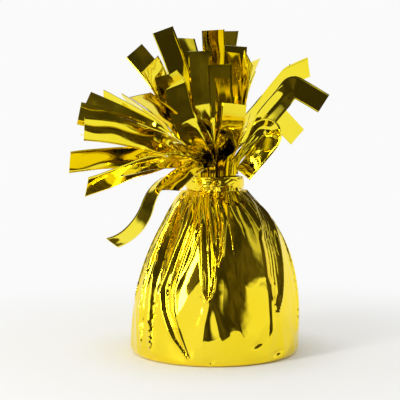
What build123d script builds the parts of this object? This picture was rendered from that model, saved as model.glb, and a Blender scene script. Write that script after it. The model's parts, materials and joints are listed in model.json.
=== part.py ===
from build123d import *
import math
import os
from typing import NamedTuple

# A foil balloon weight: a filled tub in a bag of two plies of metallised film, which are gathered
# over it into a neck, tied there, and cut above the tie into a pom-pom of strips.
# Millimetres, +Z up, origin on the table at the middle of the base. -Y is the front.

# Film
FILM = 0.25            # thickness of one ply
PLY_GAP = 0.15         # air between the two plies
PLEATS = 16            # gathers round the neck

# Outside of the wrapped body
BODY_RADIUS = 32.0     # widest, just above the base
EDGE_WIDTH = 2.8       # rounded bottom edge, across
EDGE_HEIGHT = 3.0      # rounded bottom edge, upwards
NECK_RADIUS = 10.3     # gathered film under the tie
NECK_FOOT = 61.0       # height where the gathers are pressed together
NECK_HEIGHT = 5.0      # from there to where the film is cut into strips
NECK_PLEAT = 0.5       # depth of the pleats under the tie
SHOULDER = 1.6         # how far the gathers stand out below the tie
PLEAT_DEPTH = 2.6      # deepest pleat of the gathers
SAG = 1.6              # how far the gathers lean over to +X

# Ballast
TUB_HEIGHT = 26.0
TUB_WALL = 1.0
TUB_EDGE = 2.0         # rounding of the closed end
LIP_HEIGHT = 2.6       # lip round the mouth
LIP_WIDTH = 1.2        # how far the lip stands out from the wall
LIP_ROUND = 2.0        # rounding of the lip where the film turns under it
TUB_CLEARANCE = 0.5    # between the tub and the film round it
TUB_LIFT = 0.1         # between the tub's mouth and the film it stands on
CAST_GAP = 0.05        # between the casting and the tub

# Tie round the neck
TIE_HEIGHT = 4.9
TIE_THICKNESS = 0.6
TIE_CLEARANCE = 0.05
KNOT_WIDTH = 4.4
KNOT_HEIGHT = 3.4
KNOT_DEPTH = 2.4
TAIL_DROP = 5.8        # how far the tie's loose end hangs below the neck's foot
TAIL_WIDTH = 8.4
TAIL_ROUND = 3.2
TAIL_THICKNESS = 0.4
TAIL_LIFT = 0.5        # between the tie's loose end and the gathers below it
TAIL_DIRECTION = 306.0

# Strips of the pom-pom
STRIP_WIDTH = 8.2
LAYERS = 4             # a strip is pleated into this many layers where it leaves the neck
ROOT_SHARE = 0.228     # width of a strip there, as a share of the neck's radius
OPEN_FROM = 3.0        # length along a strip where its pleats start to open
OPEN_BY = 27.0         # and where it has come out flat
TURN_BY = 24.0         # length over which a strip turns to its heading
BELLY = 34.0           # length along a strip at which its second lean holds
TROUGH = 1.3           # depth of the open pleat part of the way up
CREASE = 0.3           # depth of the crease that runs all along a strip
SHARP_FOLD = 4.0       # a fold is one crease up to this length of bend
HINGE_GAP = 0.5        # space under the root of a strip that swings
STEP = 0.25            # length of one step in working out a strip's course

# Two plies

NECK_TOP = NECK_FOOT + NECK_HEIGHT
BASE_RADIUS = BODY_RADIUS - EDGE_WIDTH
INNER_PLY = FILM + PLY_GAP            # inset of the second ply
TUB_INSET = INNER_PLY + FILM          # inset of its inside face
PLUG_RADIUS = 0.6 * NECK_RADIUS       # the second ply where the neck presses it together

SHOULDER_RADIUS = NECK_RADIUS + SHOULDER

# From the bottom edge up to the neck: shares of the neck foot's height, of the step from the
# shoulder out to the widest radius, of the sag, and of the pleats' depth
BELL = [
    (0.246, 0.97, 0.0, 0.04),
    (0.393, 0.915, 0.0, 0.12),
    (0.525, 0.83, 0.19, 0.35),
    (0.656, 0.68, 0.81, 0.65),
    (0.787, 0.453, 1.0, 0.92),
    (0.902, 0.229, 0.75, 1.0),
    (1.0, 0.0, 0.25, 0.62),
]

# Height, radius over the pleats, sag and depth of the pleats
BODY_SECTIONS = [
    (0.0, BASE_RADIUS, 0.0, 0.0),
    (0.3 * EDGE_HEIGHT, BODY_RADIUS - 0.3 * EDGE_WIDTH, 0.0, 0.0),
    (EDGE_HEIGHT, BODY_RADIUS, 0.0, 0.0),
]
for height, radius, sag, depth in BELL:
    flare = radius * (BODY_RADIUS - SHOULDER_RADIUS)
    BODY_SECTIONS.append((height * NECK_FOOT, SHOULDER_RADIUS + flare, sag * SAG, depth * PLEAT_DEPTH))


def body_section(height):
    """Radius, sag and pleat depth at a height, straight between the listed sections."""
    for low, high in zip(BODY_SECTIONS, BODY_SECTIONS[1:]):
        if height <= high[0]:
            share = (height - low[0]) / (high[0] - low[0])
            return [a + share * (b - a) for a, b in zip(low[1:], high[1:])]
    return BODY_SECTIONS[-1][1:]


def pleat_ring(radius, sag, depth):
    """Corners of a gathered section: ridges on the radius, and valleys of uneven depth between."""
    corners = []
    for k in range(2 * PLEATS):
        angle = math.pi * k / PLEATS
        uneven = 0.75 + 0.25 * math.cos(5 * angle + 1)
        reach = radius - (depth * uneven if k % 2 else 0)
        corners.append((sag + reach * math.cos(angle), reach * math.sin(angle)))
    return corners


def body_faces(inset):
    """Sections of the body's outside drawn in by an inset, from its floor to the foot of the neck."""
    floor = inset
    top = NECK_FOOT - inset
    heights = [floor] + [h for h, *_ in BODY_SECTIONS if floor < h < top] + [top]
    faces = []
    for height in heights:
        radius, sag, depth = body_section(height)
        with BuildSketch(Plane.XY.offset(height)) as section:
            with BuildLine():
                Polyline(*pleat_ring(radius - inset, sag, depth), close=True)
            make_face()
        faces.append(section.sketch.face())
    return faces


with BuildPart() as outer_wrapper:
    loft(body_faces(0), ruled=True)
    loft(body_faces(FILM), ruled=True, mode=Mode.SUBTRACT)
    with BuildSketch(Plane.XY.offset(NECK_FOOT)):
        with BuildLine():
            Polyline(*pleat_ring(NECK_RADIUS, 0, NECK_PLEAT), close=True)
        make_face()
    extrude(amount=NECK_HEIGHT)
    with BuildSketch(Plane.XY.offset(NECK_FOOT - FILM)):
        Circle(PLUG_RADIUS + PLY_GAP)
    extrude(amount=NECK_HEIGHT + FILM, mode=Mode.SUBTRACT)
outer_wrapper.part.label = "outer_wrapper"

with BuildPart() as inner_wrapper:
    loft(body_faces(INNER_PLY), ruled=True)
    loft(body_faces(TUB_INSET), ruled=True, mode=Mode.SUBTRACT)
    with BuildSketch(Plane.XY.offset(NECK_FOOT - TUB_INSET)):
        Circle(PLUG_RADIUS)
    extrude(amount=NECK_HEIGHT + TUB_INSET)
inner_wrapper.part.label = "inner_wrapper"

# Ballast: a tub turned mouth down, its lip inside the rounded edge, filled flush with cast cement


def room_radius(height):
    """Radius of the largest circle about the axis that clears the plies at a height."""
    radius, sag, depth = body_section(height)
    return (radius - depth) * math.cos(math.pi / (2 * PLEATS)) - sag - TUB_INSET - TUB_CLEARANCE


TUB_FLOOR = TUB_INSET + TUB_LIFT
TUB_TOP = TUB_FLOOR + TUB_HEIGHT
LIP_TOP = TUB_FLOOR + LIP_HEIGHT
LIP_RADIUS = room_radius(EDGE_HEIGHT)
WALL_RADIUS = LIP_RADIUS - LIP_WIDTH
TOP_RADIUS = room_radius(TUB_TOP)

with BuildPart() as ballast_cup:
    with BuildSketch(Plane.XZ):
        with BuildLine():
            Polyline(
                (0, TUB_FLOOR),
                (LIP_RADIUS, TUB_FLOOR),
                (LIP_RADIUS, LIP_TOP),
                (WALL_RADIUS, LIP_TOP),
                (TOP_RADIUS, TUB_TOP),
                (0, TUB_TOP),
                close=True,
            )
        make_face()
    revolve(axis=Axis.Z)
    fillet(ballast_cup.edges().group_by(Axis.Z)[0], LIP_ROUND)
    fillet(ballast_cup.edges().group_by(Axis.Z)[-1], TUB_EDGE)
    with BuildSketch(Plane.XZ):
        with BuildLine():
            Polyline(
                (0, TUB_FLOOR),
                (WALL_RADIUS - TUB_WALL, TUB_FLOOR),
                (WALL_RADIUS - TUB_WALL, LIP_TOP),
                (TOP_RADIUS - TUB_WALL, TUB_TOP - TUB_WALL),
                (0, TUB_TOP - TUB_WALL),
                close=True,
            )
        make_face()
    revolve(axis=Axis.Z, mode=Mode.SUBTRACT)
ballast_cup.part.label = "ballast_cup"

CAST_INSET = TUB_WALL + CAST_GAP

with BuildPart() as ballast_block:
    with BuildSketch(Plane.XZ):
        with BuildLine():
            Polyline(
                (0, TUB_FLOOR),
                (WALL_RADIUS - CAST_INSET, TUB_FLOOR),
                (WALL_RADIUS - CAST_INSET, LIP_TOP),
                (TOP_RADIUS - CAST_INSET, TUB_TOP - CAST_INSET),
                (0, TUB_TOP - CAST_INSET),
                close=True,
            )
        make_face()
    revolve(axis=Axis.Z)
ballast_block.part.label = "ballast_block"

# Tie: a strip of film wound round the neck, knotted in front, with one loose end over the gathers

TIE_FOOT = NECK_FOOT + TIE_CLEARANCE
TIE_INSIDE = NECK_RADIUS + TIE_CLEARANCE
TIE_MIDDLE = TIE_INSIDE + TIE_THICKNESS / 2
KNOT_REACH = TIE_MIDDLE + KNOT_DEPTH / 2


def gather_reach(height):
    """How far the gathers reach from the axis towards the tie's loose end, at a height."""
    radius, sag, _ = body_section(height)
    return radius + sag * math.cos(math.radians(TAIL_DIRECTION))


tail_angle = math.radians(TAIL_DIRECTION)
tail_plane = Plane(
    origin=(0, 0, 0),
    x_dir=(math.cos(tail_angle), math.sin(tail_angle), 0),
    z_dir=(math.sin(tail_angle), -math.cos(tail_angle), 0),
)
tail_foot = NECK_FOOT - TAIL_DROP

with BuildPart() as neck_tie:
    with BuildSketch(Plane.XY.offset(TIE_FOOT)):
        Circle(TIE_INSIDE + TIE_THICKNESS)
        Circle(TIE_INSIDE, mode=Mode.SUBTRACT)
    extrude(amount=TIE_HEIGHT)
    for across, swell in [(-KNOT_WIDTH / 2, 0.5), (0, 1), (KNOT_WIDTH / 2, 0.5)]:
        with BuildSketch(Plane.YZ.offset(across)):
            with Locations((-KNOT_REACH, TIE_FOOT + TIE_HEIGHT / 2)):
                Ellipse(swell * KNOT_DEPTH / 2, swell * KNOT_HEIGHT / 2)
    loft()
    with BuildSketch(tail_plane):
        with BuildLine():
            Polyline(
                (TIE_MIDDLE, TIE_FOOT + TIE_HEIGHT / 2),
                (gather_reach(NECK_FOOT) + TAIL_LIFT, NECK_FOOT + TAIL_LIFT),
                (gather_reach(tail_foot) + TAIL_LIFT, tail_foot),
            )
        trace(line_width=TAIL_THICKNESS)
    extrude(amount=TAIL_WIDTH / 2, both=True)
    tail_corners = neck_tie.edges().filter_by(lambda edge: edge.length < 1.5 * TAIL_THICKNESS)
    fillet(tail_corners.sort_by(Axis.Z)[:2], TAIL_ROUND)
neck_tie.part.label = "neck_tie"

# Pom-pom: strips of the two plies, pleated together at the neck and opening out above it


class Fold(NamedTuple):
    """A bend across a strip: how far along it, by what angle, and over what length."""
    at: float
    angle: float
    length: float


class Strip(NamedTuple):
    """How one strip leaves the neck and runs, with directions in degrees from +X towards +Y."""
    slot: float                # direction in which its root stands
    lean: tuple                # from upright: past its rise, at its belly and at its tip
    heading: float = None      # direction that it turns to, or its slot's
    roll: float = 0.0          # turn about its own length as it opens
    twist: float = 0.0         # further turn on the way to its tip
    fold: Fold = None
    trim: float = 0.0          # how much shorter than its row it is cut
    swings: bool = False       # nothing beside it holds it still


class Row(NamedTuple):
    """Strips that leave the neck on one circle."""
    share: float               # of the neck's radius
    length: float
    rise: float                # length over which a strip bends from upright to its first lean
    strips: list


ROWS = {
    "skirt": Row(0.864, 54, 10, [
        Strip(24, (54, 58, 58), 56, roll=-60, fold=Fold(35, 60, 3), swings=True),
        Strip(50, (76, 82, 88), 66, roll=-30, swings=True),
        Strip(78, (66, 72, 78), swings=True),
        Strip(102, (74, 80, 84), swings=True),
        Strip(127, (70, 76, 80), swings=True),
        Strip(152, (76, 80, 86), swings=True),
        Strip(195, (84, 91, 96), 209, roll=72),
        Strip(213, (88, 107, 102), 219, roll=30),
        Strip(230, (100, 160, 102), 214, twist=-18),
        Strip(247, (86, 94, 96), 236, roll=35),
        Strip(265, (90, 102, 107), 252, roll=-15),
        Strip(318, (38, 34, 34), 360, roll=-40, twist=35, fold=Fold(25, 185, 14), trim=8, swings=True),
    ]),
    "ruff": Row(0.709, 54, 13, [
        Strip(60, (56, 60, 64)),
        Strip(84, (50, 56, 60)),
        Strip(108, (56, 62, 66)),
        Strip(132, (56, 62, 66), 137, roll=40),
        Strip(154, (58, 63, 68), 150, roll=60),
        Strip(175, (60, 65, 69), 164, roll=98),
        Strip(196, (65, 71, 77), 204, roll=92),
        Strip(216, (71, 78, 86), 211, roll=92),
        Strip(238, (68, 75, 78), 236, roll=-15),
        Strip(259, (64, 70, 76), 252, roll=5),
        Strip(286, (60, 67, 74), 274, roll=-15),
        Strip(343, (36, 42, 46), 355, roll=-70, fold=Fold(41, 76, 3)),
    ]),
    "plume": Row(0.534, 56, 15, [
        Strip(10, (37, 41, 44), 25, roll=-70, fold=Fold(46, 25, 3)),
        Strip(40, (44, 48, 53), 46, roll=-50),
        Strip(71, (44, 48, 52)),
        Strip(101, (29, 35, 41)),
        Strip(131, (42, 46, 50)),
        Strip(196, (44, 48, 54), 246, roll=60),
        Strip(234, (58, 65, 71), 240, roll=10),
        Strip(264, (49, 52, 55), 249, roll=10, fold=Fold(50, 50, 3)),
        Strip(293, (44, 50, 56), 270),
        Strip(321, (36, 41, 47), 285, roll=15),
    ]),
    "crest": Row(0.359, 57, 17, [
        Strip(50, (30, 39, 49), 62, roll=-20),
        Strip(118, (20, 25, 30)),
        Strip(160, (32, 38, 44), 158, roll=92),
        Strip(205, (19, 22, 25), 209, roll=45),
        Strip(250, (37, 42, 48), 263),
        Strip(301, (27, 36, 46), 279, roll=-30),
    ]),
    "crown": Row(0.155, 58, 20, [
        Strip(70, (14, 20, 27), 72),
        Strip(290, (21, 25, 32), 262, roll=15),
    ]),
}

STATIONS = [0, 4, 8, 12, 17, 22, 28, 36, 45]    # lengths along a strip at which it is shaped


def ease(share):
    """A smooth rise from 0 to 1 as the share goes from 0 to 1."""
    share = min(max(share, 0.0), 1.0)
    return share * share * (3 - 2 * share)


def strip_length(strip, row):
    """Length to which a strip is cut."""
    return row.length - strip.trim


def strip_angles(strip, row, along):
    """Lean and heading at a length along a strip, in radians."""
    first, second, last = strip.lean
    if along < row.rise:
        lean = first * ease(along / row.rise)
    elif along < BELLY:
        lean = first + (second - first) * (along - row.rise) / (BELLY - row.rise)
    else:
        lean = second + (last - second) * (along - BELLY) / (strip_length(strip, row) - BELLY)
    if strip.fold:
        lean += strip.fold.angle * ease((along - strip.fold.at) / strip.fold.length + 0.5)
    end = strip.slot if strip.heading is None else strip.heading
    heading = strip.slot + (end - strip.slot) * ease(along / TURN_BY)
    return math.radians(lean), math.radians(heading)


def strip_direction(lean, heading):
    """Unit vector that leans from upright towards a heading."""
    flat = math.sin(lean)
    return Vector(flat * math.cos(heading), flat * math.sin(heading), math.cos(lean))


def strip_course(strip, row):
    """Points one step apart along the middle of a strip."""
    slot = math.radians(strip.slot)
    root_height = NECK_TOP + (HINGE_GAP if strip.swings else 0)
    reach = row.share * NECK_RADIUS
    point = Vector(reach * math.cos(slot), reach * math.sin(slot), root_height)
    points = [point]
    for k in range(round(strip_length(strip, row) / STEP)):
        lean, heading = strip_angles(strip, row, (k + 0.5) * STEP)
        point += strip_direction(lean, heading) * STEP
        points.append(point)
    return points


def strip_stations(strip, row):
    """Lengths at which a strip is shaped, cleared round a fold and added to within a wide one."""
    tip = strip_length(strip, row)
    stations = [s for s in STATIONS if s < tip] + [tip]
    if strip.fold:
        at, angle, length = strip.fold
        keep_off = length / 2
        if length > SHARP_FOLD:
            bend = [at - length / 2, at - length / 6, at + length / 6, at + length / 2]
        else:
            bend = [at]
            across = STRIP_WIDTH / 2 * abs(math.sin(math.radians(strip.roll)))
            keep_off += across * math.tan(math.radians(angle / 2)) + FILM
        stations = sorted([s for s in stations if abs(s - at) > keep_off] + bend)
    return stations


def strip_outline(strip, row, along):
    """Corners of the open pleat at a length: narrow and thick at the root, wide and creased above."""
    opened = ease((along - OPEN_FROM) / (OPEN_BY - OPEN_FROM))
    narrow = ROOT_SHARE * NECK_RADIUS / 2
    half = narrow + (STRIP_WIDTH / 2 - narrow) * opened
    thick = FILM * (LAYERS - (LAYERS - 1) * opened) / 2
    hump = min(max((along - OPEN_FROM) / (OPEN_BY + 1), 0), 1)
    drop = CREASE + TROUGH * math.sin(math.pi * hump) ** 2
    further = min(max((along - OPEN_BY) / (strip_length(strip, row) - OPEN_BY), 0), 1)
    roll = math.radians(strip.roll * opened + strip.twist * further)
    mitre = 1
    if strip.fold and strip.fold.length <= SHARP_FOLD and along == strip.fold.at:
        mitre = 1 / math.cos(math.radians(strip.fold.angle / 2))
    under = [(-half, -drop - thick), (0, -thick), (half, -drop - thick)]
    over = [(half, thick - drop), (0, thick), (-half, thick - drop)]
    return [
        (x * math.cos(roll) - y * math.sin(roll), mitre * (x * math.sin(roll) + y * math.cos(roll)))
        for x, y in under + over
    ]


def strip_piece(name, strip, row):
    """A strip, shaped from section to section along its course."""
    course = strip_course(strip, row)
    with BuildPart() as piece:
        for along in strip_stations(strip, row):
            lean, heading = strip_angles(strip, row, along)
            across = Vector(-math.sin(heading), math.cos(heading), 0)
            section = Plane(course[round(along / STEP)], across, strip_direction(lean, heading))
            with BuildSketch(section):
                with BuildLine():
                    Polyline(*strip_outline(strip, row, along), close=True)
                make_face()
        loft(ruled=True)
    piece.part.label = name
    return piece.part


# Files

os.makedirs("parts", exist_ok=True)
for piece in [outer_wrapper, inner_wrapper, ballast_cup, ballast_block, neck_tie]:
    export_step(piece.part, f"parts/{piece.part.label}.step")
for row_name, row in ROWS.items():
    for number, strip in enumerate(row.strips, 1):
        strip_solid = strip_piece(f"{row_name}_strip_{number:02d}", strip, row)
        export_step(strip_solid, f"parts/{strip_solid.label}.step")
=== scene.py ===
import json
from typing import NamedTuple

import bpy
import numpy as np
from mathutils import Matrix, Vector

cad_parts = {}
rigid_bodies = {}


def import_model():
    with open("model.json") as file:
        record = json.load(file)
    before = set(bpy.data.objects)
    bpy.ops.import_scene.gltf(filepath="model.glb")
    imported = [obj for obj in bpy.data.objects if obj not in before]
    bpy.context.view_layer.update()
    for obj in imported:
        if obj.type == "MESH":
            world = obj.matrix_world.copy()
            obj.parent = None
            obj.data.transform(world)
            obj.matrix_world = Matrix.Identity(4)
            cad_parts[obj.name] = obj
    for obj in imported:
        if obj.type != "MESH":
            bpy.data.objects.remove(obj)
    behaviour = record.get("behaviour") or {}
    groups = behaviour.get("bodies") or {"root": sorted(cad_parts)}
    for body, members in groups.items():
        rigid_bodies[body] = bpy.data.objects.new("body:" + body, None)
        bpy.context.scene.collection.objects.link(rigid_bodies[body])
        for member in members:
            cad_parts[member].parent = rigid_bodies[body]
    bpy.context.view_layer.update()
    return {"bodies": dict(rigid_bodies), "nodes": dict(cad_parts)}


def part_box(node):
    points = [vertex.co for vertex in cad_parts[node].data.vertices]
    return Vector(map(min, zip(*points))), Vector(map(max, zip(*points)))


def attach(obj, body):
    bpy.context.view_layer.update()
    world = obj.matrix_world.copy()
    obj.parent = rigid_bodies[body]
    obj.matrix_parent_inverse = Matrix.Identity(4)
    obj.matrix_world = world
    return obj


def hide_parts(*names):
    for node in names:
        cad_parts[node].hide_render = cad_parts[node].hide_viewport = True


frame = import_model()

# Ballast
# A thin moulded plastic tub, turned mouth down and filled flush with cast cement.
# It carries the whole mass, and is sealed out of sight in the gathered film.

TUB_WHITE = (0.74, 0.73, 0.69, 1)
TUB_SHADE = (0.62, 0.61, 0.57, 1)
TUB_ROUGHNESS = 0.38
TUB_GRAIN = 0.00004            # metres
CEMENT_LIGHT = (0.42, 0.41, 0.38, 1)
CEMENT_DARK = (0.22, 0.21, 0.20, 1)
CEMENT_ROUGHNESS = 0.75
CEMENT_GRAIN = 0.0003          # metres
CEMENT_SHARES = (0.3, 0.7)     # of its pattern, between which it goes from dark to light
SWIRLS_PER_METRE = 60
GRIT_PER_METRE = 900
GRIT_SHARE = 0.6               # of the cement's pattern, and the rest is broad clouds
MATT_SPOTS = 0.2               # how far roughness rises over swirls and grit


class Mask:
    """One socket of a node tree. Arithmetic on it adds Math nodes, and node() adds any other node."""

    def __init__(self, tree, socket):
        self.tree = tree
        self.socket = socket

    def node(self, kind, settings, sockets, output):
        """One output of a new node, whose settings are made first and its sockets then filled or linked."""
        node = self.tree.nodes.new(kind)
        for name, value in settings.items():
            setattr(node, name, value)
        for name, value in sockets.items():
            if isinstance(value, Mask):
                self.tree.links.new(value.socket, node.inputs[name])
            else:
                node.inputs[name].default_value = value
        return Mask(self.tree, node.outputs[output])

    def feed(self, node, socket):
        """Links this socket to one of a node's."""
        self.tree.links.new(self.socket, node.inputs[socket])

    def maths(self, operation, first, second):
        """A Math node on two numbers or sockets."""
        return self.node("ShaderNodeMath", {"operation": operation}, {0: first, 1: second}, 0)

    def __add__(self, other):
        return self.maths("ADD", self, other)

    __radd__ = __add__

    def __rsub__(self, other):
        return self.maths("SUBTRACT", other, self)

    def __mul__(self, other):
        return self.maths("MULTIPLY", self, other)

    __rmul__ = __mul__

    def noise(self, scale, detail):
        """Noise over this vector, from 0 to 1."""
        sockets = {"Vector": self, "Scale": scale, "Detail": detail}
        return self.node("ShaderNodeTexNoise", {}, sockets, "Fac")

    def rise(self, low, high):
        """0 below low and 1 above high, with a smooth rise between them."""
        sockets = {"Value": self, "From Min": low, "From Max": high}
        return self.node("ShaderNodeMapRange", {"interpolation_type": "SMOOTHSTEP"}, sockets, "Result")

    def within(self, start, full, waning, end):
        """A smooth rise from start to full, and a smooth fall from waning to end."""
        return self.rise(start, full) * (1 - self.rise(waning, end))

    def between(self, colour_a, colour_b):
        """A mix of two colours with this share of the second."""
        sockets = {"Factor": self, 6: colour_a, 7: colour_b}
        return self.node("ShaderNodeMix", {"data_type": "RGBA"}, sockets, 2)

    def bump(self, depth, shader):
        """Raises a shader's surface by this height, in metres at most depth."""
        height = {"Strength": 1.0, "Distance": depth, "Height": self}
        self.node("ShaderNodeBump", {}, height, "Normal").feed(shader, "Normal")


def new_finish(name):
    """A material with nodes, its Principled shader, and its Object coordinates as a Mask."""
    material = bpy.data.materials.new(name)
    material.use_nodes = True
    tree = material.node_tree
    coordinates = tree.nodes.new("ShaderNodeTexCoord")
    return material, tree.nodes["Principled BSDF"], Mask(tree, coordinates.outputs["Object"])


def dress(node, material):
    """Puts a finish on every material slot of a CAD node."""
    for slot in frame["nodes"][node].material_slots:
        slot.material = material


tub_plastic, shader, place = new_finish("tub_plastic")
swirls = place.noise(SWIRLS_PER_METRE, detail=3)
swirls.between(TUB_WHITE, TUB_SHADE).feed(shader, "Base Color")
(TUB_ROUGHNESS + MATT_SPOTS * swirls).feed(shader, "Roughness")
place.noise(GRIT_PER_METRE, detail=2).bump(TUB_GRAIN, shader)
dress("ballast_cup", tub_plastic)

cast_cement, shader, place = new_finish("cast_cement")
grit = place.noise(GRIT_PER_METRE, detail=6)
clouds = place.noise(SWIRLS_PER_METRE, detail=4)
pattern = GRIT_SHARE * grit + (1 - GRIT_SHARE) * clouds
pattern.rise(*CEMENT_SHARES).between(CEMENT_DARK, CEMENT_LIGHT).feed(shader, "Base Color")
(CEMENT_ROUGHNESS + MATT_SPOTS * grit).feed(shader, "Roughness")
grit.bump(CEMENT_GRAIN, shader)
dress("ballast_block", cast_cement)

# Bag
# Two plies of gold metallised film, flat under the tub and drawn up round it into the neck.
# The film can't stretch, so it stands in darts and fine pleats, which run out down the wall.

MM = 0.001                     # sizes of the film are millimetres until a mesh is made
bag_low, bag_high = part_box("outer_wrapper")
BODY_RADIUS = (bag_high.x - bag_low.x) / 2 / MM
NECK_TOP = bag_high.z / MM
NECK_HEIGHT = 5.0
NECK_FOOT = NECK_TOP - NECK_HEIGHT
NECK_RADIUS = 10.2
SHOULDER_RADIUS = 11.9
SHOULDER_DROP = 0.3            # from the neck's foot down to the top of the wall
BELL_POWER = 2.65              # how late the wall turns in towards the neck
EDGE_WIDTH = 2.8
EDGE_HEIGHT = 3.0
FLOOR_MIDDLE = 1.5             # radius of the ring that closes the floor
PLY_INSET = 0.4
PLY_THICKNESS = 0.15
SAG = 1.6                      # the gathers lean over to +X
SAG_HEIGHT = 48.0
FLOOR_RINGS = 4
EDGE_RINGS = 8
NECK_RINGS = 3
FRONT_CROWDING = 0.65          # points round the bag lie closer at the front
SHARP_EDGE = 1.0               # radians between faces that make a hard edge

GOLD = (0.99, 0.775, 0.035, 1)
DEEP_GOLD = (0.97, 0.745, 0.022, 1)
TONES_PER_METRE = 45
TONE_SHARES = (0.35, 0.7)
SCUFFS_PER_METRE = 160
SCUFF_SHARES = (0.5, 0.8)
SCUFF_ROUGHNESS = 0.08
DENTS_PER_METRE = 120
FACETS_PER_METRE = 170
DENT_SHARE = 0.6               # of the wrinkles, and the rest is facets
BAG_WRINKLE = 0.00025          # metres
BAG_ROUGHNESS = 0.06


class Dart(NamedTuple):
    """A tuck in the wall, from its tip upwards."""
    heights: tuple
    angles: tuple              # degrees right of the front, at those heights
    halves: tuple              # half widths, at those heights
    depth: float


class Gather(NamedTuple):
    """One size of pleat round the neck."""
    count: int
    lowest: float              # heights between which they run out
    highest: float
    depth: float


class Crimp(NamedTuple):
    """A soft crease up the wall."""
    angle: float               # degrees right of the front
    low: float                 # heights between which it runs
    high: float
    rise: float


class Tuck(NamedTuple):
    """A small dent above the foot of the wall."""
    angle: float               # degrees right of the front
    height: float
    width: float


class Wave(NamedTuple):
    """A slow swell of the wall, which winds round the bag as it climbs."""
    rise: float
    count: int
    wind: float                # degrees for each millimetre up
    start: float               # degrees


DARTS = [
    Dart((17.7, 24, 31, 44, 56), (44, 46, 47, 53, 70), (0, 2.2, 3.9, 4.7, 3.4), 1.5),
    Dart((36.3, 40, 54, 60), (-1, -1, -2.3, -3), (0, 1.4, 2.3, 1.6), 0.9),
    Dart((23.7, 27, 31, 48, 58), (-7, -7, -7, -10, -12), (0, 1.7, 1.9, 2.4, 1.6), 1.1),
    Dart((3.2, 9.5, 19.6, 26.5, 40, 52), (-18, -26, -35, -38, -34, -30), (0, 1.4, 2.3, 2.5, 2, 1.4), 1.2),
    Dart((3.5, 12, 22, 40, 54), (-46, -47, -48, -50, -52), (0, 1.6, 2.2, 2.2, 1.4), 1.6),
    Dart((4.5, 13, 24, 40, 54), (-57, -58, -59, -61, -65), (0, 1.6, 2.1, 2.1, 1.4), 1.5),
    Dart((21, 30, 44, 56), (-74, -75, -78, -84), (0, 1.8, 2.6, 2.0), 1.2),
    Dart((9, 20, 38, 56), (70, 72, 78, 90), (0, 1.4, 2.2, 2.0), 1.0),
    Dart((26, 34, 46, 58), (112, 113, 116, 118), (0, 2.4, 3.6, 2.4), 1.4),
    Dart((14, 26, 42, 56), (146, 147, 150, 152), (0, 2.2, 3.0, 2.0), 1.3),
    Dart((30, 38, 50, 58), (178, 178, 179, 180), (0, 2.6, 3.2, 2.0), 1.3),
    Dart((10, 24, 40, 56), (-152, -150, -149, -148), (0, 1.8, 2.8, 2.2), 1.2),
    Dart((22, 32, 46, 58), (-112, -113, -114, -116), (0, 2.2, 3.4, 2.4), 1.4),
]
GATHERS = [
    Gather(13, 16, 40, 1.3),
    Gather(27, 36, 50, 0.55),
    Gather(53, 50, 58, 0.2),
]
CRIMPS = [
    Crimp(40, 6, 34, 0.5),
    Crimp(-8, 4, 24, 0.25),
    Crimp(66, 8, 34, 0.35),
    Crimp(-100, 6, 30, 0.4),
    Crimp(130, 8, 30, 0.4),
]
TUCKS = [
    Tuck(-46, 1.8, 1.5),
    Tuck(-3, 1.9, 1.0),
    Tuck(31, 1.8, 1.2),
    Tuck(28, 7.5, 1.8),
    Tuck(46, 3.4, 2.2),
    Tuck(95, 2.0, 2.2),
    Tuck(160, 2.2, 2.4),
    Tuck(-120, 2.0, 2.2),
]
WAVES = [Wave(0.28, 5, 2.2, 0), Wave(0.22, 9, -3.1, 60)]
STILL_FOOT = 2.0               # height from which waves rise and darts deepen
WAVES_BY = 22.0                # height at which the waves are whole
NECK_RELIEF = 0.12             # share of the relief that the tie leaves in the neck

DART_FLOOR = 0.85              # share of a dart's half width over which it is hollow
DART_NARROWEST = 0.05
DART_START = 0.9               # length over which it deepens above its tip
DART_FOOT_SHARE = 0.35         # of its depth, where it comes down to the foot of the wall
DART_WHOLE_BY = 18.0           # height at which it has its whole depth
DART_FAINTER = 0.6             # how far it runs out among the gathers
DART_FAINT_FROM = 50.0
DART_FAINT_BY = 60.0
CREASE_RISE = 0.25
CREASE_PITCH = 2.1             # radians for each millimetre across the dart
CREASE_SLANT = 0.12            # radians for each millimetre up it
CREASE_ROUND = 0.03
RIM_RISE = 0.42
RIM_OUT = 0.3
RIM_WIDTH = 0.8
RIM_SHARPER = 0.3              # rims are narrower at the front and wider at the back
FAN_ABOVE = 6.0                # from the tip up to the point where its creases would meet
FAN_RAYS = 7
FAN_SPREAD = 0.5
FAN_DEPTH = 0.5
FAN_LENGTH = 10.0
FAN_FOOT = 3.0

GATHER_DRIFT = 0.02            # share of a pleat by which creases slant for each millimetre up
GATHER_DRIFT_FROM = 40.0
GATHER_LEAST = 0.45            # share of the depth that every pleat has
GATHER_SPREAD = 0.55           # share that is left to chance
GATHER_BULGE = 0.8             # how soon a pleat deepens above its foot

CRIMP_STEP = 1.8               # width of its steep side
CRIMP_TAIL = 5.0               # width over which its other side dies away
CRIMP_START = 6.0              # lengths over which it starts and ends
CRIMP_END = 8.0
TUCK_DEPTH = 0.7
TUCK_HALF_HEIGHT = 0.8
TUCK_SLANT = 0.25


def ease(value, low=0.0, high=1.0):
    """A smooth rise from 0 at low to 1 at high: 3 times the square of the share less twice its cube."""
    share = np.clip((value - low) / (high - low), 0, 1)
    return share * share * (3 - 2 * share)


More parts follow.
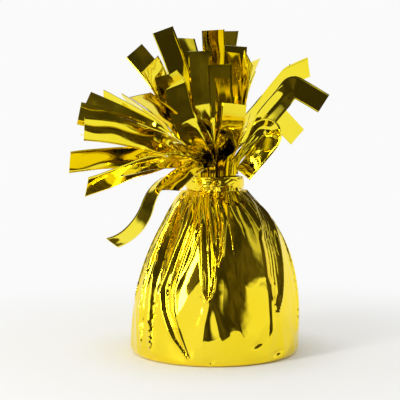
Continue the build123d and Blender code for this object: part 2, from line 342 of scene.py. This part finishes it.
def film_skin(name, rings, material):
    """Mesh over closed rings of points, [ring, point, xyz], that run anticlockwise about the way along.

    Quads join each ring to the next, and rungs from point to opposite point close the first and the last.
    """
    count, around = rings.shape[:2]
    index = np.arange(count * around).reshape(count, around)
    beside = np.roll(index, -1, axis=1)
    sides = np.stack([index[:-1], beside[:-1], beside[1:], index[1:]], axis=-1).reshape(-1, 4)
    near = np.arange(around // 2 - 1)
    far = around - 1 - near
    rungs = np.stack([near, near + 1, far - 1, far], axis=-1)
    faces = np.concatenate([sides, rungs[:, ::-1], rungs + (count - 1) * around])
    mesh = bpy.data.meshes.new(name)
    mesh.from_pydata((rings.reshape(-1, 3) * MM).tolist(), [], faces.tolist())
    mesh.shade_smooth()
    mesh.set_sharp_from_angle(angle=SHARP_EDGE)
    mesh.materials.append(material)
    piece = bpy.data.objects.new(name, mesh)
    bpy.context.scene.collection.objects.link(piece)
    return piece


def gold_film(name, light, deep, wrinkle, roughness):
    """Mirror-bright film of two close golds, with dents, facets and faint scuffs some millimetres wide."""
    material, shader, place = new_finish(name)
    shader.inputs["Metallic"].default_value = 1.0
    tone = place.noise(TONES_PER_METRE, detail=2).rise(*TONE_SHARES)
    tone.between(light, deep).feed(shader, "Base Color")
    scuffs = place.noise(SCUFFS_PER_METRE, detail=3).rise(*SCUFF_SHARES)
    (roughness + SCUFF_ROUGHNESS * scuffs).feed(shader, "Roughness")
    dents = place.noise(DENTS_PER_METRE, detail=2)
    cells = {"Vector": place, "Scale": FACETS_PER_METRE}
    facets = place.node("ShaderNodeTexVoronoi", {"feature": "SMOOTH_F1"}, cells, "Distance")
    (DENT_SHARE * dents + (1 - DENT_SHARE) * facets).bump(wrinkle, shader)
    return material


def bell_radius(height):
    """Radius of the wall: the shoulder's, and a flare that falls off as a power of the height."""
    share = np.clip(height / NECK_FOOT, 0, 1)
    return SHOULDER_RADIUS + (BODY_RADIUS - SHOULDER_RADIUS) * (1 - share ** BELL_POWER)


def lean_aside(height):
    """How far the gathers lean over to +X: nothing at the floor and the neck, and most at SAG_HEIGHT."""
    return SAG * ease(height, 0, SAG_HEIGHT) * (1 - ease(height, SAG_HEIGHT, NECK_FOOT))


def about_axis(reach, turn, height, aside=0):
    """Points at a reach from the axis, at angles right of the front in radians, and at heights."""
    return np.stack([aside + reach * np.sin(turn), -reach * np.cos(turn), height + 0 * reach], axis=-1)


def turn_from(middle, angle):
    """Radians from a middle to an angle, both in degrees, the shorter way round."""
    return np.radians((angle - middle + 180) % 360 - 180)


def dart_relief(angle, height, dart):
    """A creased hollow between two narrow rims that meet at its tip, and below that a fan of creases.

    Across the dart the hollow is a flat-bottomed bell curve, with a rounded zigzag of creases in it, and
    each rim is a narrow bell curve. The fan is a zigzag of the slope away from a point above the tip.
    """
    middle = np.interp(height, dart.heights, dart.angles)
    half = np.interp(height, dart.heights, dart.halves)
    tip = dart.heights[0]
    away = turn_from(middle, angle) * bell_radius(height)
    inside = np.exp(-(away / np.maximum(DART_FLOOR * half, DART_NARROWEST)) ** 4)
    zigzag = np.sqrt(np.sin(away * CREASE_PITCH + height * CREASE_SLANT) ** 2 + CREASE_ROUND)
    rim_width = RIM_WIDTH - RIM_SHARPER * np.cos(np.radians(angle))
    rim = np.exp(-((np.abs(away) - half - RIM_OUT) / rim_width) ** 2)
    low_share = DART_FOOT_SHARE + (1 - DART_FOOT_SHARE) * ease(height, STILL_FOOT, DART_WHOLE_BY)
    hollow = low_share * dart.depth * inside * (CREASE_RISE * zigzag - 1) + RIM_RISE * rim
    started = ease((height - tip + DART_START) / DART_START)
    fainter = 1 - DART_FAINTER * ease(height, DART_FAINT_FROM, DART_FAINT_BY)
    below = tip - height
    slope = away / (below + FAN_ABOVE)
    rays = np.abs(np.sin(FAN_RAYS * slope + dart.depth)) * np.exp(-(slope / FAN_SPREAD) ** 2)
    fan = rays * ease(below, 0, FAN_LENGTH) * ease(height, 0, FAN_FOOT)
    return started * fainter * hollow - FAN_DEPTH * fan


def gather_relief(angle, height, gather, seed):
    """Ridges between creases of uneven spacing, each of its own depth and running out at its own height.

    A sum of sines makes the creases wander, and between two of them the ridge is a plain roof.
    """
    rng = np.random.default_rng(seed)
    wander = 0.35 * np.sin(np.radians(3 * angle + 50))
    wander = wander + 0.25 * np.sin(np.radians(7 * angle + 140 * seed))
    drift = GATHER_DRIFT * (height - GATHER_DRIFT_FROM) * np.sin(np.radians(2 * angle))
    turn = angle / 360 * gather.count + wander + drift
    cell = np.floor(turn).astype(int) % gather.count
    ridge = 1 - np.abs(2 * (turn - np.floor(turn)) - 1)
    depth = gather.depth * (GATHER_LEAST + GATHER_SPREAD * rng.random(gather.count))[cell]
    foot = (gather.lowest + (gather.highest - gather.lowest) * rng.random(gather.count))[cell]
    return depth * (ridge - 0.5) * ease(height, foot, NECK_FOOT) ** GATHER_BULGE


def crimp_relief(angle, height, crimp):
    """A smooth step on one side of the crease, which dies away on the other side."""
    away = turn_from(crimp.angle, angle) * BODY_RADIUS
    step = ease((away + CRIMP_STEP) / CRIMP_STEP) * np.exp(-np.maximum(away, 0) / CRIMP_TAIL)
    runs = ease((height - crimp.low) / CRIMP_START) * ease((crimp.high - height) / CRIMP_END)
    return crimp.rise * step * runs


def tuck_relief(angle, height, tuck):
    """A slanting dent: a bell curve both across and up."""
    away = turn_from(tuck.angle, angle) * BODY_RADIUS
    above = (height - tuck.height - TUCK_SLANT * away) / TUCK_HALF_HEIGHT
    return -TUCK_DEPTH * np.exp(-(away / tuck.width) ** 2 - above ** 2)


def bag_rings(inset, rounds, levels):
    """The bag from the middle of its floor over the rounded edge and up the bell to the top of the neck.

    The floor, edge, bell and neck give a profile of radius and height, which is carried round the axis.
    Waves, gathers, darts, crimps and tucks add up to a relief, by which the wall goes out or in.
    """
    floor = np.linspace(FLOOR_MIDDLE, BODY_RADIUS - EDGE_WIDTH, FLOOR_RINGS, endpoint=False)
    bend = np.linspace(0, np.pi / 2, EDGE_RINGS, endpoint=False)
    edge = BODY_RADIUS - EDGE_WIDTH + EDGE_WIDTH * np.sin(bend)
    wall = np.linspace(EDGE_HEIGHT, NECK_FOOT - SHOULDER_DROP, levels)
    neck = np.linspace(NECK_FOOT, NECK_TOP, NECK_RINGS)
    radius = np.concatenate([floor, edge, bell_radius(wall), np.full(neck.size, NECK_RADIUS)])[:, None]
    height = np.concatenate([0 * floor, EDGE_HEIGHT * (1 - np.cos(bend)), wall, neck])[:, None]
    loose = [0 * floor, np.sin(bend), np.ones(wall.size), np.full(neck.size, NECK_RELIEF)]
    loose = np.concatenate(loose)[:, None]
    even = np.linspace(-np.pi, np.pi, rounds, endpoint=False)[None, :]
    angle = np.degrees(even - FRONT_CROWDING * np.sin(even))

    relief = 0
    for wave in WAVES:
        swell = np.sin(np.radians(wave.count * angle + wave.wind * height + wave.start))
        relief = relief + wave.rise * swell * ease(height, STILL_FOOT, WAVES_BY)
    for seed, gather in enumerate(GATHERS):
        relief = relief + gather_relief(angle, height, gather, seed)
    for dart in DARTS:
        relief = relief + dart_relief(angle, height, dart)
    for crimp in CRIMPS:
        relief = relief + crimp_relief(angle, height, crimp)
    for tuck in TUCKS:
        relief = relief + tuck_relief(angle, height, tuck)

    lift = height + inset * (1 - height / NECK_TOP)
    return about_axis(radius - inset + loose * relief, np.radians(angle), lift, lean_aside(height))


def ply_rings(inset, rounds, levels):
    """One ply: up its outside to the neck, and back down its inside to the floor."""
    outside = bag_rings(inset, rounds, levels)
    inside = bag_rings(inset + PLY_THICKNESS, rounds, levels)
    return np.concatenate([outside, inside[::-1]])


bag_film = gold_film("bag_film", GOLD, DEEP_GOLD, BAG_WRINKLE, BAG_ROUGHNESS)
outer_bag = film_skin("outer_bag", ply_rings(0, rounds=380, levels=115), bag_film)
inner_bag = film_skin("inner_bag", ply_rings(PLY_INSET, rounds=240, levels=60), bag_film)
for bag, node in [(outer_bag, "outer_wrapper"), (inner_bag, "inner_wrapper")]:
    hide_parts(node)
    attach(bag, "weight")

# Tie
# A strip of the same film, wound tight round the neck over the gathers and knotted in front.
# One end is pulled through short, and the other hangs over the gathers in scallops.

TIE_HEIGHT = 4.9
TIE_INSIDE = 10.35
TIE_THICKNESS = 0.6
TIE_GAP = 0.05                 # up from the foot of the neck
TIE_MIDDLE = NECK_FOOT + TIE_GAP + TIE_HEIGHT / 2
TIE_WRINKLE = 0.0006           # metres
TIE_ROUGHNESS = 0.1

BAND_FILM = 0.2
BAND_SWELL = 0.42
BAND_CREASE = 0.24
BAND_SHARE = 0.9               # of the tie's height, on average
BAND_SLOPE = 0.1

KNOT_ANGLE = 1.0               # degrees right of the front
KNOT_HALF_SPREAD = 11          # degrees
KNOT_RADIUS = 1.55
KNOT_END_RADIUS = 0.05
KNOT_BLUNT = 0.02              # keeps its ends from closing to a point
KNOT_FLATNESS = 0.85
KNOT_FLUTES = 5
KNOT_FLUTE_DEPTH = 0.16
KNOT_TWIST = 3.2               # radians from its middle to its end
KNOT_OUT = 0.95
KNOT_ENDS_IN = 0.5
KNOT_DROP = 0.2
KNOT_TILT = 1.0

END_FILM = 0.2
END_OVER_BAND = 0.1
END_OVER_GATHERS = 0.9
END_STANDS_OFF = 0.3
END_ROOT_SPREAD = 0.55         # share of its spread where it leaves the band
END_OPENING = 0.45             # share that it gains on its way down
FLUTE_AT_BAND = 0.25
FLUTE_GAIN = 0.35              # more on the way down
SCALLOP_DEPTH = 0.22           # share of the drop


class LooseEnd(NamedTuple):
    """A loose end of the tie."""
    angle: float               # degrees right of the front
    spread: float              # degrees to each side
    top: float                 # height where it leaves the band
    drop: float
    scallops: int


FLAP = LooseEnd(31.0, 21.0, 62.4, 5.6, 3)
STUB = LooseEnd(4.0, 7.0, 62.6, 3.6, 1)


def band_rings(rounds, across):
    """The band: a thin swollen section carried round the neck, its edges and creases wandering in sines."""
    turn = np.linspace(0, 2 * np.pi, rounds)[:, None]
    side = np.linspace(-1, 1, across)[None, :]
    half = TIE_HEIGHT / 2 * (BAND_SHARE + 0.06 * np.sin(5 * turn) + 0.04 * np.sin(11 * turn + 1))
    middle = TIE_MIDDLE + BAND_SLOPE * np.sin(turn + 0.4)
    creases = BAND_CREASE * np.abs(np.sin(5 * side + 1.2 * np.sin(3 * turn) + 2 * np.sin(7 * turn)))
    outside = TIE_INSIDE + BAND_FILM + BAND_SWELL * (1 - side ** 2) + creases
    inside = TIE_INSIDE + 0 * outside
    height = middle + half * side
    reach = np.concatenate([outside[:, ::-1], inside], axis=1)
    height = np.concatenate([height[:, ::-1], height], axis=1)
    return about_axis(reach, turn, height)[::-1]


def knot_rings(rounds, around):
    """The knot: a short roll of film across the band, twisted, fluted, and an ellipse along its length."""
    along = np.linspace(-1, 1, rounds)[:, None]
    turn = np.linspace(0, 2 * np.pi, around, endpoint=False)[None, :]
    fat = KNOT_RADIUS * np.sqrt(np.clip(1 + KNOT_BLUNT - along ** 2, 0, 1)) + KNOT_END_RADIUS
    fat = fat * (1 + KNOT_FLUTE_DEPTH * np.cos(KNOT_FLUTES * turn + KNOT_TWIST * along))
    middle = TIE_INSIDE + KNOT_OUT - KNOT_ENDS_IN * along ** 2
    height = TIE_MIDDLE - KNOT_DROP + KNOT_TILT * along + fat * np.sin(turn)
    angle = np.radians(KNOT_ANGLE + KNOT_HALF_SPREAD * along)
    return about_axis(middle + fat * np.cos(turn) * KNOT_FLATNESS, angle, height)


def end_rings(end, rounds, across):
    """A loose end: it leaves the band and lies down the gathers, fluted across, with a scalloped edge.

    A cosine across it gives the flutes, and the absolute value of a sine gives the scallops.
    """
    along = np.linspace(0, 1, rounds)[:, None]
    side = np.linspace(-1, 1, across)[None, :]
    flutes = np.cos(np.pi * end.scallops * side)
    scallops = np.abs(np.sin(np.pi * end.scallops * side / 2 + np.pi / 2))
    height = end.top - end.drop * along * (1 - SCALLOP_DEPTH * (1 - scallops))
    angle = np.radians(end.angle + end.spread * side * (END_ROOT_SPREAD + END_OPENING * along))
    over_band = TIE_INSIDE + TIE_THICKNESS + END_OVER_BAND
    lying = np.maximum(over_band, bell_radius(height) + END_OVER_GATHERS)
    reach = lying + END_STANDS_OFF + (FLUTE_AT_BAND + FLUTE_GAIN * along) * flutes
    reach = np.concatenate([reach[:, ::-1] + END_FILM / 2, reach - END_FILM / 2], axis=1)
    angle = np.concatenate([angle[:, ::-1], angle], axis=1)
    height = np.concatenate([height[:, ::-1], height], axis=1)
    return about_axis(reach, angle, height, lean_aside(height))


tie_film = gold_film("tie_film", GOLD, DEEP_GOLD, TIE_WRINKLE, TIE_ROUGHNESS)
tie_band = film_skin("tie_band", band_rings(rounds=220, across=14), tie_film)
tie_knot = film_skin("tie_knot", knot_rings(rounds=40, around=40), tie_film)
tie_flap = film_skin("tie_flap", end_rings(FLAP, rounds=24, across=40), tie_film)
tie_stub = film_skin("tie_stub", end_rings(STUB, rounds=12, across=10), tie_film)
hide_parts("neck_tie")
for piece in [tie_band, tie_knot, tie_flap, tie_stub]:
    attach(piece, "weight")

# Pom-pom
# Above the tie both plies are slit into strips, pleated where they leave the neck and opening out flat.
# Inner strips stand up, and outer ones splay and droop. Those with room round them swing on their roots.

STRIP_WIDTH = 8.2
STRIP_FILM = 0.2
ROOT_WIDTH = 2.35
HINGE_GAP = 0.5
OPEN_FROM = 3.0                # lengths along a strip between which it opens
OPEN_BY = 27.0
TURN_BY = 24.0                 # length by which it has its heading
BELLY = 34.0                   # length at which its second lean is given
TROUGH = 1.3                   # depth of the trough in which it opens
TROUGH_LENGTH = 28.0
CREASE = 0.1                   # depth of the crease down its middle
CREASE_BLUNT = 0.01
ROOT_PLEAT = 0.45
ROOT_PLEATS = 2.5              # in half the width
ROOT_PLEAT_SHIFT = 0.25        # most by which chance shifts them, as a share of a pleat
ROOT_PLEAT_FROM = 6.0          # lengths between which the root's pleats run out
ROOT_PLEAT_BY = 22.0
PLEAT_FROM = 8.0               # lengths between which a strip's own pleat starts, and then runs out
PLEAT_WHOLE = 20.0
PLEAT_WANES = 33.0
PLEAT_ENDS = 41.0
EDGE_CURL = 0.45
HEM_RISE = 0.16                # the slit edges turn up a little
HEM_FROM = 0.88                # share of the half width
RIPPLE = 0.08
RIPPLE_LENGTH = 17
STRIP_STEPS = 120
STRIP_ACROSS = 23
STRIP_GOLD = (0.95, 0.80, 0.04, 1)
STRIP_DEEP = (0.93, 0.77, 0.025, 1)
STRIP_WRINKLE = 0.00003        # metres
STRIP_ROUGHNESS = 0.05


class Strip(NamedTuple):
    """One strip. Its angles are degrees, and a slot or heading turns from +X towards +Y."""
    slot: float                # where its root is on the circle of its row
    lean: tuple                # from upright: past its rise, at its belly and at its tip
    heading: float = None      # where it leads, if not straight out from its slot
    roll: float = 0.0          # turn about its length as it opens
    twist: float = 0.0         # more of that turn towards the tip
    fold: tuple = None         # a bend across it: how far along, by what angle, over what length
    trim: float = 0.0          # how much shorter than its row it is cut
    pleat: float = 0.0         # depth of a crease along it, which runs out at its bend


class Row(NamedTuple):
    """Strips that leave the neck on one circle."""
    radius: float
    length: float
    rise: float                # length over which they come to their first lean
    strips: list


ROWS = {
    "skirt": Row(8.9, 54, 10, [
        Strip(24, (54, 58, 58), 56, roll=-60, fold=(35, 60, 3)),
        Strip(50, (76, 82, 88), 66, roll=-30),
        Strip(78, (66, 72, 78)),
        Strip(102, (74, 80, 84)),
        Strip(127, (70, 76, 80)),
        Strip(152, (76, 80, 86)),
        Strip(195, (84, 91, 96), 214, roll=70),
        Strip(213, (88, 107, 102), 223, roll=60),
        Strip(230, (100, 160, 102), 214, twist=-18),
        Strip(247, (86, 94, 96), 236, roll=35),
        Strip(264, (90, 102, 107), 250),
        Strip(318, (38, 34, 34), 360, roll=-60, twist=10, fold=(25, 185, 14), trim=8),
    ]),
    "ruff": Row(7.3, 54, 13, [
        Strip(60, (56, 60, 64)),
        Strip(84, (50, 56, 60)),
        Strip(108, (56, 62, 66)),
        Strip(132, (59, 64, 67), 137, roll=40),
        Strip(154, (58, 63, 68), 150, roll=60),
        Strip(175, (60, 65, 69), 164, roll=108),
        Strip(196, (65, 71, 77), 204, roll=92),
        Strip(216, (71, 78, 86), 211, roll=92),
        Strip(238, (68, 75, 78), 236, roll=-15),
        Strip(259, (74, 29, 14), 238, roll=38, fold=(46, 45, 3), trim=2),
        Strip(286, (68, 70, 38), 274, roll=-10, trim=4),
        Strip(343, (36, 42, 46), 355, roll=-70, fold=(41, 76, 3), pleat=1.7),
    ]),
    "plume": Row(5.5, 56, 15, [
        Strip(10, (37, 41, 44), 25, roll=-70, fold=(46, 25, 3)),
        Strip(40, (44, 48, 53), 46, roll=-50),
        Strip(71, (44, 48, 52)),
        Strip(101, (29, 35, 41)),
        Strip(131, (42, 46, 50)),
        Strip(196, (44, 48, 54), 246, roll=60),
        Strip(234, (58, 65, 71), 240, roll=10),
        Strip(264, (56, 43, 17), 226, roll=55, trim=8),
        Strip(293, (72, 25, 14), 262, roll=10, trim=4),
        Strip(321, (40, 45, 51), 277, roll=-75),
    ]),
    "crest": Row(3.7, 57, 17, [
        Strip(50, (34, 44, 54), 68, roll=-20),
        Strip(118, (20, 25, 30)),
        Strip(160, (32, 38, 44), 158, roll=108),
        Strip(205, (19, 22, 25), 209, roll=45),
        Strip(250, (54, 26, 14), 262, roll=10, trim=4),
        Strip(301, (42, 28, 14), 280, roll=-20, trim=4),
    ]),
    "crown": Row(1.6, 58, 20, [
        Strip(70, (14, 20, 27), 72),
        Strip(290, (13, 16, 20), 262, roll=10, trim=3),
    ]),
}


def strip_angles(strip, rise, length, along):
    """Lean and heading at lengths along a strip, in radians.

    The lean eases in over the rise, then runs straight to its values at the belly and the tip, and a fold
    adds its own angle. The heading eases from the slot's to the strip's own.
    """
    lean = np.interp(along, [rise, BELLY, length], strip.lean)
    lean = np.where(along < rise, strip.lean[0] * ease(along, 0, rise), lean)
    if strip.fold:
        where, angle, over = strip.fold
        lean = lean + angle * ease((along - where) / over + 0.5)
    end = strip.slot if strip.heading is None else strip.heading
    heading = strip.slot + (end - strip.slot) * ease(along, 0, TURN_BY)
    return np.radians(lean), np.radians(heading)


def leaning(lean, heading):
    """Unit vectors that lean from upright towards a heading."""
    out = np.sin(lean)
    return np.stack([out * np.cos(heading), out * np.sin(heading), np.cos(lean)], axis=-1)


def strip_rings(strip, row, swings, seed):
    """A strip: its course is the running sum of its direction, and its section is a creased, pleated line.

    The section opens from the narrow pleated root through a trough to the flat strip, and turns about the
    course by the roll and twist. Its edges curl by the square of their distance, and ripple in a sine.
    """
    rng = np.random.default_rng(seed)
    length = row.length - strip.trim
    step = length / STRIP_STEPS
    along = np.linspace(0, length, STRIP_STEPS + 1)
    slot = np.radians(strip.slot)
    foot = NECK_TOP + HINGE_GAP * swings
    root = np.array([row.radius * np.cos(slot), row.radius * np.sin(slot), foot])
    strides = leaning(*strip_angles(strip, row.rise, length, along[:-1] + step / 2)) * step
    middle = root + np.concatenate([np.zeros((1, 3)), np.cumsum(strides, axis=0)])

    lean, heading = strip_angles(strip, row.rise, length, along)
    across = np.stack([-np.sin(heading), np.cos(heading), 0 * heading], axis=-1)
    normal = np.cross(leaning(lean, heading), across)
    opened = ease(along, OPEN_FROM, OPEN_BY)
    further = np.clip((along - OPEN_BY) / (length - OPEN_BY), 0, 1)
    roll = np.radians(strip.roll * opened + strip.twist * further)[:, None]
    wide = (np.cos(roll) * across + np.sin(roll) * normal)[:, None, :]
    up = (np.cos(roll) * normal - np.sin(roll) * across)[:, None, :]

    side = np.sin(np.linspace(-np.pi / 2, np.pi / 2, STRIP_ACROSS))[None, :]
    half = (ROOT_WIDTH + (STRIP_WIDTH - ROOT_WIDTH) * opened)[:, None] / 2
    trough = TROUGH * np.sin(np.pi * np.clip((along - OPEN_FROM) / TROUGH_LENGTH, 0, 1)) ** 2
    held = ease(along, PLEAT_FROM, PLEAT_WHOLE) * (1 - ease(along, PLEAT_WANES, PLEAT_ENDS))
    drop = (CREASE + trough + strip.pleat * held)[:, None] * np.sqrt(side ** 2 + CREASE_BLUNT)
    zigzag = np.abs((ROOT_PLEATS * side + ROOT_PLEAT_SHIFT * rng.random()) % 1 - 0.5) * 4 - 1
    pleats = ROOT_PLEAT * zigzag * (1 - ease(along, ROOT_PLEAT_FROM, ROOT_PLEAT_BY))[:, None]
    curl = (rng.random() - 0.5) * EDGE_CURL * side ** 2 * further[:, None]
    hem = HEM_RISE * ease((np.abs(side) - HEM_FROM) / (1 - HEM_FROM)) * opened[:, None]
    ripple = RIPPLE * np.sin(2 * np.pi * (along / RIPPLE_LENGTH + rng.random()))
    raised = pleats + curl + (ripple * opened)[:, None] * side + hem - drop
    line = middle[:, None, :] + wide * (half * side)[..., None] + up * raised[..., None]
    over = line + up * STRIP_FILM / 2
    under = line - up * STRIP_FILM / 2
    return np.concatenate([over[:, ::-1], under], axis=1)


strip_film = gold_film("strip_film", STRIP_GOLD, STRIP_DEEP, STRIP_WRINKLE, STRIP_ROUGHNESS)
swinging = {name for name in frame["bodies"] if name != "weight"}
strips = []
for row_name, row in ROWS.items():
    for number, strip in enumerate(row.strips, 1):
        node = f"{row_name}_strip_{number:02d}"
        swings = node in swinging
        rings = strip_rings(strip, row, swings, seed=len(strips))
        piece = film_skin(f"film_{node}", rings, strip_film)
        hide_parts(node)
        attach(piece, node if swings else "weight")
        strips.append(piece)

# Studio
# A white table in a bright room, whose dark walls, boards and doorway show only in the film's mirror,
# and one soft lamp on the left. The camera looks down a little from the front.

FLOOR_WHITE = (0.93, 0.925, 0.905, 1)
FLOOR_ROUGHNESS = 0.6
FLOOR_GLOSS = 0.2
FLOOR_SIDE = 1.5               # metres, as are all sizes of the studio
FLOOR_FRONT = 0.09
FLOOR_BRINK = 0.014            # width over which its front edge blends into the backdrop
NEAR_HAZE = (0.03, 0.06)       # distances from the middle, between which it starts to blend
FAR_HAZE = (0.06, 0.19)        # and between which it goes on to the backdrop alone
NEAR_SHARE = 0.4               # of the blend, in the near haze
BACKDROP_WHITE = (0.955, 0.955, 0.955, 1)
ROOM_LIGHT = (0.78, 0.78, 0.77, 1)
ROOM_DARK = (0.034, 0.028, 0.018, 1)
ROOM_DIM = (0.118, 0.096, 0.062, 1)
MURK_SCALE = 2.2
MURK_SHARES = (0.4, 0.7)
CAMERA_PLACE = (-0.00545, -0.420, 0.089)
CAMERA_TILT = 4.36             # degrees down
CAMERA_NEAREST = 0.01
LENS = 100.8
LAMP_PLACE = (-0.46, -0.42, 0.33)
LAMP_AIM = (0.0, 0.0, 0.05)
LAMP_SIZE = (0.1, 0.5)
LAMP_WATTS = 2.4


class DarkArea(NamedTuple):
    """A dark area of the room: where it starts, where it is full, where it wanes and where it ends."""
    bearings: tuple            # radians right of the front
    heights: tuple             # of a unit vector that points there


FRONT_WALL = (-1.75, -1.55, 1.3, 1.5)
DARK_AREAS = {
    "upper front": DarkArea(FRONT_WALL, (0.2, 0.28, 0.93, 0.98)),
    "doorway": DarkArea((-0.25, -0.1, 0.8, 0.95), (-0.25, -0.2, 0.2, 0.28)),
    "boards": DarkArea(FRONT_WALL, (-1.2, -1.1, -0.25, -0.2)),         # from straight below
    "back": DarkArea((2.3, 2.5, 3.0, 3.1), (0.14, 0.24, 0.8, 0.9)),
    "left": DarkArea((-2.45, -2.25, -1.9, -1.7), (0.14, 0.3, 0.6, 0.7)),
    "right": DarkArea((1.4, 1.6, 2.3, 2.5), (0.28, 0.4, 0.8, 0.9)),
}
CEILING = (0.84, 0.9)

floor_corners = [
    (-FLOOR_SIDE, -FLOOR_FRONT, 0),
    (FLOOR_SIDE, -FLOOR_FRONT, 0),
    (FLOOR_SIDE, FLOOR_SIDE, 0),
    (-FLOOR_SIDE, FLOOR_SIDE, 0),
]
floor_mesh = bpy.data.meshes.new("floor")
floor_mesh.from_pydata(floor_corners, [], [range(4)])
floor = bpy.data.objects.new("floor", floor_mesh)
bpy.context.scene.collection.objects.link(floor)

table_white, shader, place = new_finish("table_white")
shader.inputs["Base Color"].default_value = FLOOR_WHITE
shader.inputs["Roughness"].default_value = FLOOR_ROUGHNESS
shader.inputs["Specular IOR Level"].default_value = FLOOR_GLOSS
tree = table_white.node_tree
lit = Mask(tree, shader.outputs["BSDF"])
glow = place.node("ShaderNodeEmission", {}, {"Color": BACKDROP_WHITE}, "Emission")
away = place.node("ShaderNodeVectorMath", {"operation": "LENGTH"}, {0: place}, "Value")
depth = place.node("ShaderNodeSeparateXYZ", {}, {0: place}, "Y")
haze = NEAR_SHARE * away.rise(*NEAR_HAZE) + (1 - NEAR_SHARE) * away.rise(*FAR_HAZE)
brink = (-1 * depth).rise(FLOOR_FRONT - FLOOR_BRINK, FLOOR_FRONT)
mixed = place.node("ShaderNodeMixShader", {}, {0: haze + (1 - haze) * brink, 1: lit, 2: glow}, 0)
mixed.feed(tree.nodes["Material Output"], "Surface")
floor_mesh.materials.append(table_white)

world = bpy.data.worlds.new("studio")
bpy.context.scene.world = world
world.use_nodes = True
tree = world.node_tree
tree.nodes.clear()
way = Mask(tree, tree.nodes.new("ShaderNodeTexCoord").outputs["Generated"])
x, y, z = [way.node("ShaderNodeSeparateXYZ", {}, {0: way}, axis) for axis in "XYZ"]
bearing = x.maths("ARCTAN2", x, -1 * y)
dark = z.rise(*CEILING)
for area in DARK_AREAS.values():
    dark = dark + bearing.within(*area.bearings) * z.within(*area.heights)
rays = ["Is Camera Ray", "Is Glossy Ray", "Is Transmission Ray"]
seen, mirrored, through = [way.node("ShaderNodeLightPath", {}, {}, ray) for ray in rays]
pale = (seen + mirrored + through).between(ROOM_LIGHT, BACKDROP_WHITE)
murk = way.noise(MURK_SCALE, detail=3).rise(*MURK_SHARES).between(ROOM_DARK, ROOM_DIM)
shown = (mirrored * dark).between(pale, murk)
surround = shown.node("ShaderNodeBackground", {}, {"Color": shown, "Strength": 1.0}, "Background")
surround.feed(tree.nodes.new("ShaderNodeOutputWorld"), "Surface")

lamp_data = bpy.data.lights.new("soft_lamp", "AREA")
lamp_data.shape = "RECTANGLE"
lamp_data.size, lamp_data.size_y = LAMP_SIZE
lamp_data.energy = LAMP_WATTS
lamp = bpy.data.objects.new("soft_lamp", lamp_data)
lamp.location = LAMP_PLACE
lamp.rotation_euler = (Vector(LAMP_AIM) - Vector(LAMP_PLACE)).to_track_quat("-Z", "Y").to_euler()
bpy.context.scene.collection.objects.link(lamp)

camera_data = bpy.data.cameras.new("camera")
camera_data.lens = LENS
camera_data.clip_start = CAMERA_NEAREST
camera = bpy.data.objects.new("camera", camera_data)
camera.location = CAMERA_PLACE
camera.rotation_euler = (np.radians(90 - CAMERA_TILT), 0, 0)
bpy.context.scene.collection.objects.link(camera)
bpy.context.scene.camera = camera
bpy.context.scene.view_settings.view_transform = "Standard"
